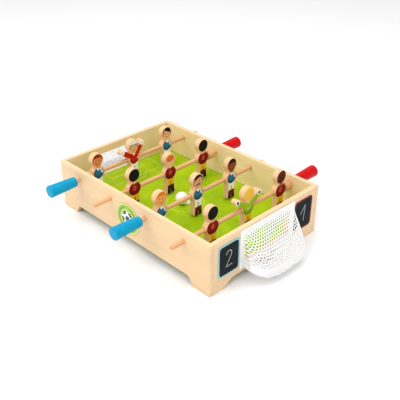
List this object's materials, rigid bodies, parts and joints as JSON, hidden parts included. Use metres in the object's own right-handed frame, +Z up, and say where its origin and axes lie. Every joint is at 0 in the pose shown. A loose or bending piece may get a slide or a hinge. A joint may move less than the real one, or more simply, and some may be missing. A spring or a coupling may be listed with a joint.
{
  "type": "tabletop foosball",
  "caption": "Wooden tabletop football game: tray with printed field, net goals, and sliding, turning rods of flat printed wooden players with painted handles.",
  "frame": {"origin": "bottom centre of the whole game, on the surface that its feet stand on, below the middle of the field", "axes": "+X along the tray towards the end wall with the score boards, +Y across the tray towards the red handles, +Z up"},
  "size_m": [0.6292, 0.508, 0.1495],
  "materials": {
    "wall_wood": "pale birch plywood, clear satin varnish",
    "dowel_wood": "turned beech, sanded",
    "player_print": "pale wood cut-out, printed in flat colours on both faces",
    "field_print": "thin board printed grass green with pale lines, satin",
    "blue_paint": "turned wood, glossy blue paint",
    "red_paint": "turned wood, glossy red paint",
    "chalkboard": "matte black chalk paint with a thin coloured border",
    "badge_print": "printed round label, satin",
    "tape": "white woven tape",
    "net": "white knitted net",
    "ball": "white painted, smooth"
  },
  "bodies": {
    "tray": {"side_wall_near": "wall_wood", "side_wall_far": "wall_wood", "goal_wall_right": "wall_wood", "goal_wall_left": "wall_wood", "playfield": "field_print", "net_tape_right": "tape", "net_tape_left": "tape", "goal_net_right": "net", "goal_net_left": "net", "score_board_blue": "chalkboard", "score_board_red": "chalkboard", "side_badge": "badge_print"},
    "blue_goal_rod": {"blue_goal_rod": "dowel_wood"},
    "blue_goal_team": {"blue_goal_player_near": "player_print", "blue_goal_keeper": "player_print", "blue_goal_player_far": "player_print", "blue_goal_handle": "blue_paint", "blue_goal_collar": "dowel_wood"},
    "red_front_rod": {"red_front_rod": "dowel_wood"},
    "red_front_team": {"red_front_player_near": "player_print", "red_front_player_middle": "player_print", "red_front_player_far": "player_print", "red_front_handle": "red_paint", "red_front_collar": "dowel_wood"},
    "blue_front_rod": {"blue_front_rod": "dowel_wood"},
    "blue_front_team": {"blue_front_player_near": "player_print", "blue_front_player_middle": "player_print", "blue_front_player_far": "player_print", "blue_front_handle": "blue_paint", "blue_front_collar": "dowel_wood"},
    "red_goal_rod": {"red_goal_rod": "dowel_wood"},
    "red_goal_team": {"red_goal_player_near": "player_print", "red_goal_keeper": "player_print", "red_goal_player_far": "player_print", "red_goal_handle": "red_paint", "red_goal_collar": "dowel_wood"},
    "ball": {"ball": "ball"}
  },
  "joints": [
    {"name": "blue_goal_slide", "type": "slide", "parent": "tray", "child": "blue_goal_rod", "axis": [0, 1, 0], "range_m": [-0.0045, 0.0115]},
    {"name": "blue_goal_spin", "type": "hinge", "parent": "blue_goal_rod", "child": "blue_goal_team", "pos_m": [-0.1755, 0, 0.098], "axis": [0, 1, 0], "continuous": true},
    {"name": "red_front_slide", "type": "slide", "parent": "tray", "child": "red_front_rod", "axis": [0, 1, 0], "range_m": [-0.001, 0.015]},
    {"name": "red_front_spin", "type": "hinge", "parent": "red_front_rod", "child": "red_front_team", "pos_m": [-0.0585, 0, 0.098], "axis": [0, 1, 0], "continuous": true},
    {"name": "blue_front_slide", "type": "slide", "parent": "tray", "child": "blue_front_rod", "axis": [0, 1, 0], "range_m": [-0.0025, 0.0135]},
    {"name": "blue_front_spin", "type": "hinge", "parent": "blue_front_rod", "child": "blue_front_team", "pos_m": [0.0585, 0, 0.098], "axis": [0, 1, 0], "continuous": true},
    {"name": "red_goal_slide", "type": "slide", "parent": "tray", "child": "red_goal_rod", "axis": [0, 1, 0], "range_m": [-0.0135, 0.0025]},
    {"name": "red_goal_spin", "type": "hinge", "parent": "red_goal_rod", "child": "red_goal_team", "pos_m": [0.1755, 0, 0.098], "axis": [0, 1, 0], "continuous": true},
    {"name": "ball_roll", "type": "slide", "parent": "tray", "child": "ball", "axis": [0, 1, 0], "range_m": [-0.133, 0.155]}
  ]
}
